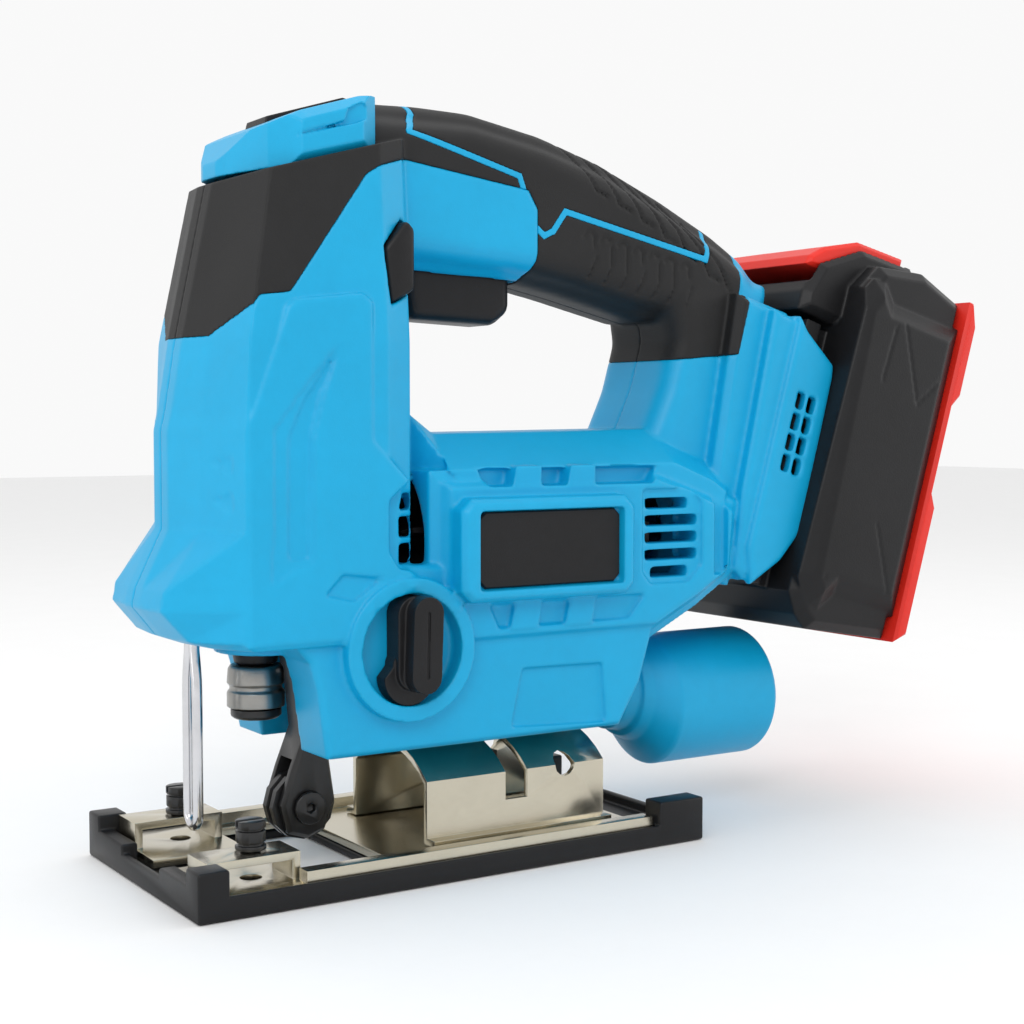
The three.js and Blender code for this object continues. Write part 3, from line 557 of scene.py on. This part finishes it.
cuts = []
for side in (LEFT, RIGHT):
    # Shallow channels above and below the label.
    low, high = on_side(side, 24.5, 36)
    cuts.append(slab("upper_channel", [(8, 104.3), (67, 104.3), (63.5, 99.6), (10.5, 99.6)], low, high))
    low, high = on_side(side, 28.6, 36)
    cuts.append(slab("lower_channel", [(10, 69), (61, 69), (55, 62.5), (13, 62.5)], low, high))
    low, high = on_side(side, 26.8, 36)
    cuts.append(slab("lower_recess", [(21.5, 51), (47.5, 50.5), (49, 34), (18, 35.5)], low, high))
    # Swoosh on the head: a wide shallow trough with a deeper lane.
    low, high = on_side(side, 30.1, 36)
    cuts.append(slab("trough", [(-33.5, 136), (-44, 124), (-51, 115), (-52, 77), (-46, 81), (-41, 82),
                                (-40.5, 112), (-38, 122)], low, high))
    low, high = on_side(side, 29.3, 36)
    cuts.append(slab("lane", [(-34, 134), (-43, 122), (-47, 113), (-47.5, 83), (-42, 83), (-41.5, 113),
                              (-39, 123)], low, high))
    low, high = on_side(side, 29.6, 36)
    cuts.append(slab("corner_dent", [(-38, 74), (-33, 79), (-22, 77.5), (-30, 72)], low, high))
    # Front vent, rear louvres and the slot behind them.
    low, high = on_side(side, 27.8, 36)
    cuts.append(slab("vent_bay", [
        (-20, 84), (-17, 79.5), (-10, 78.5), (-9, 81), (-9, 101.5), (-12, 103.5),
        (-20, 97)], low, high))
    low, high = on_side(side, 20, 36)
    for z in (80.4, 87.2, 94.2):
        top = z + (5.4 if z < 94 else 4.4)
        left = -15.8 if z < 94 else -14.8
        cuts.append(slab("front_vent", [(-15.8, z), (-10.5, z), (-10.5, top), (left, top)], low, high))
    low, high = on_side(side, 28.7, 36)
    cuts.append(slab("louvre_bay", [(60, 75), (63, 71.5), (76, 71.5), (81, 76), (81, 94), (77, 98),
                                    (60, 98)], low, high))
    low, high = on_side(side, 20, 36)
    for row in range(5):
        z = 73.2 + 4.8 * row
        right = 76.5 if row in (0, 4) else 80
        left = 61.5 if row else 63.5
        cuts.append(slab("louvre", [(left, z), (right, z), (right, z + 3), (left, z + 3)], low, high))
    low, high = on_side(side, 27.4, 36)
    cuts.append(block("rear_slot", 85.7, 90.6, low, high, 73, 94.5))
    # Label recess.
    low, high = on_side(side, 33, 40)
    cuts.append(block("label_recess", 3.7, 49.3, low, high, 73.2, 93.8))
    # Three darts in the slanting band of the head.
    for z in (106.5, 97.5, 80.0):
        dart = slab("dart", [(-4.4, 0.2), (3.6, 2.0), (3.6, -1.8), (2.2, -2.4)], -0.8, 0.8)
        dart = moved(dart, (0, 0, 0), 71 * side, "Z")
        cuts.append(moved(dart, (-61.4, side * 22.5, z)))
# Lock slot, trigger mouth, plunger hole, arm pocket, battery bay and dust outlet.
lock_outline = [(-20, 160.5), (-18, 145.5), (-10.3, 149.5), (-10.3, 165.5), (-13, 168)]
cuts += [
    both("lock_slot", lock_outline, 34),
    block("trigger_mouth", -2, 31.6, -8.6, 8.6, 140, 172),
    both("arm_pocket", [(-50, 28), (-50, 60), (-39, 66), (-20, 66), (-20, 28)], 12),
    tilted(both("battery_bay", [(8, -31), (30, -31), (30, 60), (8, 60)], 27)),
    tilted(block("contact_bay", 1.2, 10, -13.3, 13.3, -16.3, 16.3)),
    round_bar("outlet", "x", (0, 0, 44), 48, 72, 9.6),
]
for side in (LEFT, RIGHT):
    for column in (8.8, 13.2):
        for row in range(4):
            s0 = 5.4 + 6.3 * row
            ends = on_side(side, 24, 36)
            cuts.append(tilted(block("rail_vent", column, column + 3.3, *ends, s0, s0 + 5.1)))
form = combined("DIFFERENCE", form, *cuts)
straps = []
for side in (LEFT, RIGHT):
    for x in (17, 34.5):
        ends = on_side(side, 22, 29.6)
        straps.append(slab("upper_strap", [
            (x, 97), (x + 9.5, 97), (x + 9.5, 105), (x + 1.5, 105)], *ends))
        ends = on_side(side, 26, 30.6)
        straps.append(slab("lower_strap", [
            (x - 1, 62), (x + 8, 62), (x + 9.5, 71), (x + 1, 71)], *ends))
straps.append(round_bar("plunger_boss", "z", (-40, 0, 0), 57.5, 63, 13.5))
form = combined("UNION", form, *straps)
form = combined("DIFFERENCE", form, round_bar("plunger_hole", "z", (-43, 0, 0), 50, 72, 8.8))

# The black layer takes the head, the cap's seat and the handle; the blue line splits it.
GRIP = [
    (-95, 136.5), (-61, 137.5), (-54, 147), (-46, 148), (-43, 152), (-24, 178), (-20, 180.5), (-12, 183),
    (-8, 184), (30, 179), (33, 174), (33, 160), (30, 148), (30, 140), (60, 134), (76, 134), (99, 136),
    (109, 173), (112, 215), (-95, 215)]
line_path = [(-3, 206), (-3, 197), (-6.5, 191.5), (27, 182.5), (32, 169.5), (35, 167), (38, 168.5),
             (42, 174), (91.5, 163.5), (95, 172)]
inlay_strips = []
for step, ((ax, az), (bx, bz)) in enumerate(zip(line_path, line_path[1:])):
    along = Vector((bx - ax, bz - az)).normalized()
    out = Vector((-along.y, along.x)) * (0.8 + 0.01 * step)
    ax, az = Vector((ax, az)) - along * (0.5 + 0.03 * step)
    bx, bz = Vector((bx, bz)) + along * 0.45
    inlay_strips.append(both("strip", [
        (ax + out.x, az + out.y), (bx + out.x, bz + out.y), (bx - out.x, bz - out.y),
        (ax - out.x, az - out.y)], 30 + 0.3 * step))
strip = combined("UNION", *inlay_strips)
sleeve = both("sleeve", GRIP, 60)
under = copied(form, "under")
grip = combined("INTERSECT", copied(form, "grip"), copied(sleeve, "sleeve_tool"))
blue = combined("DIFFERENCE", form, sleeve)
inlay = combined("INTERSECT", copied(grip, "inlay"), copied(strip, "strip_tool"))
grip = combined("DIFFERENCE", grip, strip)

# Finger grooves: slanted ones over the crest, U-shaped ribs below the line, each only as deep
# as the sunken copy of the form allows.
GROOVE_DEPTH = 0.9
chosen(under)
under.data.remesh_voxel_size = 0.001 * COARSE
bpy.ops.object.voxel_remesh()
sinking = under.modifiers.new("sinking", "DISPLACE")
sinking.mid_level = 0
sinking.strength = -GROOVE_DEPTH * MM
bpy.ops.object.modifier_apply(modifier=sinking.name)


def stroke(points, width, low, high):
    """A narrow ribbon along a path, cut through a range of widths."""
    left, right = [], []
    for i, (x, z) in enumerate(points):
        x0, z0 = points[max(i - 1, 0)]
        x1, z1 = points[min(i + 1, len(points) - 1)]
        out = Vector((z0 - z1, x1 - x0)).normalized() * width / 2
        left.append((x + out.x, z + out.y))
        right.append((x - out.x, z - out.y))
    return slab("stroke", left + right[::-1], low, high)


grooves = []
for i in range(7):
    x, z = 44 + 8.1 * i, 195.2 - 3.25 * i - 0.22 * i * i
    path = [(x - 7, z + 6), (x, z - 1), (x + 5, z - 7), (x + 8.5, z - 14.5), (x + 12.5, z - 16)]
    grooves.append(stroke(path, 0.7, -24, 24))
for i in range(7):
    x, z = 49 + 5.6 * i, 169.3 - 1.2 * i
    path = [(x - 1, z - 1.6), (x + 1, z), (x + 3, z - 1.4), (x + 3.3, z - 8), (x + 1.5, z - 13)]
    for side in (LEFT, RIGHT):
        ends = on_side(side, 9, 24)
        grooves.append(stroke(path, 0.55, *ends))
for groove in grooves:
    groove = combined("DIFFERENCE", groove, copied(under, "under_tool"))
    grip = combined("DIFFERENCE", grip, groove)
bpy.data.objects.remove(under)

# The hollow inside the halves, a room for each thing they hold.


def room_ring(z, front, less=0.0):
    """One level of the room in the head, which follows the head's own plan."""
    half = 25 - less
    shape = [(front, 3.5), (front + 5, 13 - less), (-52, half), (-22, half), (-14, 22 - less),
             (-9, 10)]
    return [(x, -y, z) for x, y in shape] + [(x, y, z) for x, y in reversed(shape)]


core = combined(
    "UNION",
    loft("core", [room_ring(64.5, -63), room_ring(72, -68), room_ring(114, -63.5),
                  room_ring(136, -60), room_ring(150, -57, 3)]),
    block("rod_room", -51, -33, -10, 10, 147, 171),
    both("handle_room", [
        (-16, 168), (-16, 191), (14, 191), (37, 187.5), (57, 182.5), (80, 173), (98, 164), (104, 158),
        (96, 150), (84, 153.5), (70, 156), (47, 160), (33, 163), (-5, 164)], 11.5),
    both("post_room", [
        (80, 104), (86, 126), (90, 145), (97, 157), (105.5, 148.2), (99.7, 118), (95, 104)], 12.6),
    round_bar("motor_room", "x", (0, 0, 85), -12.2, 78, 23.5, 64),
    round_bar("motor_end", "x", (0, 0, 85), 77, 88, 15, 48),
    block("rear_room", 84, 96, -10, 10, 88, 110),
    both("dust_room", [(-18, 41), (-18, 66.2), (40, 66.2), (52, 56), (58, 50), (52, 41)], 13),
    round_bar("dust_way", "x", (0, 0, 44), 50, 70, 9.6))


def halved(thing, side, name):
    """The part of a shape on one side of the middle, closed along the parting face."""
    piece = copied(thing, name)
    bpy.ops.object.mode_set(mode="EDIT")
    bpy.ops.mesh.select_all(action="SELECT")
    bpy.ops.mesh.bisect(
        plane_co=(0, side * 0.00005, 0), plane_no=(0, side, 0), use_fill=True, clear_inner=True)
    bpy.ops.object.mode_set(mode="OBJECT")
    return piece


KNOB = (-14, 0, 59)
knob_boss = round_bar("knob_boss", "y", KNOB, -32, -28, 18.3, 96)
knob_well = round_bar("knob_well", "y", KNOB, -40, -26.6, 14.3, 96)
index_dots = [round_bar("dot", "y", (x, 0, z), -31.5, -33.5, 1.1, 16)
              for x, z in ((-25.5, 70.3), (-14, 75.2), (-1.2, 69))]
for side, word in ((LEFT, "left"), (RIGHT, "right")):
    shell = halved(blue, side, word + "_shell")
    if side == LEFT:
        shell = combined("UNION", shell, knob_boss)
        shell = combined("DIFFERENCE", shell, knob_well)
        shell = combined("UNION", shell, *index_dots)
    shell = moulded(shell, word + "_shell", blue_shell, 0.8 * COARSE, 3)
    shell = combined("DIFFERENCE", shell, copied(core, "core_tool"))
    fitted(shell, "housing", "blue_shell", word + "_housing")
    layer = halved(grip, side, word + "_layer")
    layer = moulded(layer, word + "_layer", black_rubber, 0.6 * COARSE, 3)
    layer = combined("DIFFERENCE", layer, copied(core, "core_tool"))
    fitted(layer, "housing", "black_rubber", word + "_grip")
line = moulded(inlay, "grip_line", blue_shell, 0.4 * COARSE, 2)
line = combined("DIFFERENCE", line, copied(core, "core_tool"))
fitted(line, "housing", "blue_shell")
bpy.data.objects.remove(core)
for spent in (blue, grip):
    bpy.data.objects.remove(spent)

# ---- Cap on the head, label plates, trigger, lock button ----
# The blue cap clips over the front of the black layer and holds a black wedge; the blank plates
# sit in the frames; trigger and lock button are hard black mouldings.
cap = both("cap", [
    (-55.5, 177.4), (-54.5, 181.5), (-49.5, 188.3), (-40, 192.8), (-24, 197.8), (-14, 199.2),
    (-10, 197.5), (-9, 192), (-12, 188), (-24, 184), (-42, 179.2)], 25, [(2.5, 2.5)])
cap_plan = slab("cap_plan", [
    (-54.6, -4), (-53.4, -8), (-47, -19), (-39.5, -26), (-25, -26), (-18, -20), (-14, -12),
    (-12.5, 0), (-14, 12), (-18, 20), (-25, 26), (-39.5, 26), (-47, 19), (-53.4, 8), (-54.6, 4),
], 150, 220, "XY")
cap = combined("INTERSECT", cap, cap_plan)
wedge_cut = both("wedge_cut", [(-41, 190), (-41, 196), (-16, 204), (-16, 196.6)], 6.5)
cap = combined("DIFFERENCE", cap, wedge_cut)
for side in (LEFT, RIGHT):
    ends = on_side(side, 23.6, 30)
    cap = combined("DIFFERENCE", cap, slab("chevron", [
        (-43, 186), (-29, 191), (-28, 194), (-24, 196), (-20, 193), (-26, 190.5)], *ends))
cap = moulded(cap, "cap", blue_shell, 0.45 * COARSE, 3)
fitted(cap, "housing", "blue_shell", "top_cap")
wedge = both("wedge", [(-42.5, 189.8), (-41.5, 193.6), (-20, 200.4), (-15.5, 199.4), (-16, 196.9)], 6.2)
wedge = moulded(wedge, "cap_wedge", black_plastic, 0.4 * COARSE, 2)
fitted(wedge, "housing", "black_plastic", "cap_inlay")

for side, word in ((LEFT, "left"), (RIGHT, "right")):
    low, high = on_side(side, 32.6, 33.8)
    label = slab("label", [
        (6, 73.6), (47, 73.6), (48.9, 75.5), (48.9, 91.5), (47, 93.4), (6, 93.4), (4.1, 91.5),
        (4.1, 75.5)], low, high, "XZ", [(0.4, 0.4)])
    label.name = "plate_" + word
    bpy.ops.object.shade_smooth_by_angle(angle=math.radians(30))
    label.data.materials.append(black_plastic)
    fitted(label, "housing", "black_plastic", "label_" + word)

trigger = refined("trigger", "trigger_paddle", black_plastic, 2.4, 4, 25)
fitted(trigger, "trigger", "black_plastic", "trigger")
lock = refined("lock_button", "lock_bar", black_plastic, 1.3, 3, 25)
fitted(lock, "lock", "black_plastic", "lock_button")

# ---- Plunger, blade clamp, guide arm, guard wire, selector ----
# Ground and blackened steel: the collar twists to free the blade, the arm carries the roller,
# and the wire in front is bent from one rod.
nose = refined("chuck_nose", "clamp_nose", black_steel, 0.5, 2)
fitted(nose, "plunger", "black_steel", "chuck_nose")
neck = refined("chuck_neck", "clamp_neck", black_plastic, 0.4, 2)
fitted(neck, "plunger", "black_steel", "chuck_neck")
collar = refined("chuck_collar", "clamp_collar", ring_steel, 0.35, 3)
fitted(collar, "collar", "bright_steel", "chuck_collar")
arm = refined("guide_arm", "roller_arm", black_steel, 1.0, 3)
fitted(arm, "arm", "black_steel", "guide_arm")
pin = refined("roller_pin", "roller_axle", black_steel, 0.3, 2)
fitted(pin, "arm", "black_steel", "roller_pin")

wire = bpy.data.curves.new("guard_wire", "CURVE")
wire.dimensions = "3D"
wire.bevel_depth = 0.00135
wire.bevel_resolution = 5
BEND_RADIUS = 3.15
BEND_LEVEL = 17
leg = [(-1.6, 62), (-1.6, 59), (-2.2, 56), (-3.0, 51.5), (-BEND_RADIUS, 47), (-BEND_RADIUS, 32),
       (-BEND_RADIUS, BEND_LEVEL)]
bend = [(BEND_RADIUS * math.cos(a), BEND_LEVEL + BEND_RADIUS * math.sin(a))
        for a in (math.pi * (1 + step / 12) for step in range(1, 12))]
route = leg + bend + [(-y, z) for y, z in reversed(leg)]
spline = wire.splines.new("POLY")
spline.points.add(len(route) - 1)
for spot, (y, z) in zip(spline.points, route):
    spot.co = (-0.0605, y * MM, z * MM, 1)
wire.use_fill_caps = True
guard = bpy.data.objects.new("guard_wire", wire)
scene.collection.objects.link(guard)
chosen(guard)
bpy.ops.object.convert(target="MESH")
guard = bpy.context.object
bpy.ops.object.shade_smooth_by_angle(angle=math.radians(40))
guard.data.materials.append(bright_steel)
fitted(guard, "housing", "bright_steel", "blade_guard")


def capsule(top_x, top_z, top_r, low_x, low_z, low_r, sides=20):
    """The outline of a lever with round ends."""
    turns = [math.pi * i / sides for i in range(sides + 1)]
    upper = [(top_x + top_r * math.cos(t), top_z + top_r * math.sin(t)) for t in turns]
    lower = [(low_x - low_r * math.cos(t), low_z - low_r * math.sin(t)) for t in turns]
    return upper + lower


knob = slab("selector_knob", capsule(-14.3, 68, 4.7, -14.3, 53.5, 4.7), -33.2, -26.7)
foot = slab("knob_foot", capsule(-14.8, 55, 4.9, -14.8, 52.2, 7.3), -31.6, -26.9)
lever = slab("knob_lever", capsule(-12.6, 68.6, 4.2, -13.2, 52.6, 4.2), -37.6, -27)
blade = slab("knob_slot", [(-13.2, 52), (-12.5, 52), (-12.2, 69), (-12.9, 69)], -40, -37)
knob = combined("UNION", knob, foot, lever)
knob = combined("DIFFERENCE", knob, blade)
knob = combined("UNION", knob, round_bar("knob_stem", "y", KNOB, -27.5, -24.5, 3.2, 24))
knob = moulded(knob, "selector_knob", black_plastic, 0.3 * COARSE, 2)
fitted(knob, "selector", "black_plastic", "orbital_knob")

# ---- Dust port ----
# A blue spout turned down from the neck of the housing to a wide round mouth.


def hoop(x, z, radius, sides=72):
    """A ring across the port at one place along it."""
    turns = [2 * math.pi * i / sides for i in range(sides)]
    return [(x, radius * math.cos(t), z + radius * math.sin(t)) for t in turns]


spout = loft("spout", [hoop(*ring) for ring in (
    (54, 44, 9.1), (65.5, 44, 9.1), (66.5, 39.5, 12.6), (67.5, 39.2, 13.2), (72, 38.4, 13.2),
    (72.6, 38, 14.4), (76, 37, 15.2), (82, 33.7, 19), (83, 33.5, 19.5), (118, 33.5, 19.5),
    (119, 33.5, 18.9))])
bore = loft("bore", [hoop(*ring) for ring in (
    (52, 44, 7), (69, 43.5, 7.5), (77, 38, 10.5), (84, 33.5, 17.2), (121, 33.5, 17.2))])
spout = combined("DIFFERENCE", spout, bore)
spout = moulded(spout, "dust_spout", blue_shell, 0.6 * COARSE, 2)
fitted(spout, "housing", "blue_shell", "dust_port")

# ---- Battery: case, ridged latch, red back plate ----
# A black two-part case that slides down the rail, with a raised panel on each side.
case = tilted(both("case", [
    (20.8, -28), (25, -34), (30, -37.3), (62, -33), (62, 74), (44, 78), (26, 74), (20.8, 66)],
    35, [(3, 3)]))
side_panel = tilted(both("side_panel", [
    (17.5, 60), (23, 69), (28, 70), (33, 65), (62, 66), (62, -26), (50, -26), (36, -26), (31, -32),
    (26, -31), (20.5, -23)], 38, [(4, 2.5), (2, 1)]))
front_face = tilted(block("front_face", 20.8, 70, -40, 40, -50, 90))
side_panel = combined("INTERSECT", side_panel, front_face)
brow = tilted(both("brow", [
    (5.5, 54), (5.5, 60), (9, 70), (24, 79.5), (46, 81), (50, 76), (50, 54)], 27, [(2.5, 2.5)]))
rail = tilted(block("rail", 8.8, 14.6, -26.3, 26.3, -28, 52))
web = tilted(block("web", 13, 24, -22.2, 22.2, -28, 52))
case = combined("UNION", case, side_panel, brow, rail, web)
case_cuts = [tilted(block("latch_room", 3, 44, -24.8, 24.8, 63.6, 90)),
             tilted(block("contact_way", 8, 13, -8, 8, -30, 20)),
             tilted(both("plate_seat", [(62.2, -50), (80, -50), (80, 90), (62.2, 90)], 50))]
for side in (LEFT, RIGHT):
    ends = on_side(side, 37.75, 40)
    for points in (
        [(33, 57), (34, 57.5), (31.6, 20), (31, -2), (29.8, -4)],
        [(36, 60), (36.8, 60), (48.5, 38.5), (62, 56), (62, 54.8), (48.5, 36.8)],
        [(27, -22), (28, -22.4), (43, -3), (42.4, -2.4)],
        [(43, -1), (43.8, -1), (57.5, -25.5), (56.8, -25.8)],
    ):
        case_cuts.append(tilted(slab("facet_line", points, *ends)))
case = combined("DIFFERENCE", case, *case_cuts)
case = moulded(case, "battery_shell", black_plastic, 0.6 * COARSE, 2)
hollow = tilted(block("cell_room", 24, 70, -33, 33, -30, 61))
case = combined("DIFFERENCE", case, hollow)
fitted(case, "battery", "black_plastic", "battery_case")
back_plate = refined("battery_rear_plate", "battery_back", red_plastic, 0.8, 3, 20)
fitted(back_plate, "battery", "red_plastic", "battery_rear_plate")
latch = both("latch_button", [
    (5.8, 68.5), (6.4, 71.4), (11, 75.5), (24, 81.8), (43.4, 83.2), (43.4, 68.5)], 24, [(1.2, 1.2)])
ridges = []
for i in range(5):
    x = 11.5 + 5.6 * i
    ridges.append(block("ridge", x, x + 2.2, -17, 17, 76 + 1.3 * i, 95))
latch = tilted(combined("DIFFERENCE", latch, *ridges))
latch = moulded(latch, "latch_button", red_plastic, 0.4 * COARSE, 2)
fitted(latch, "latch", "red_plastic", "battery_latch")
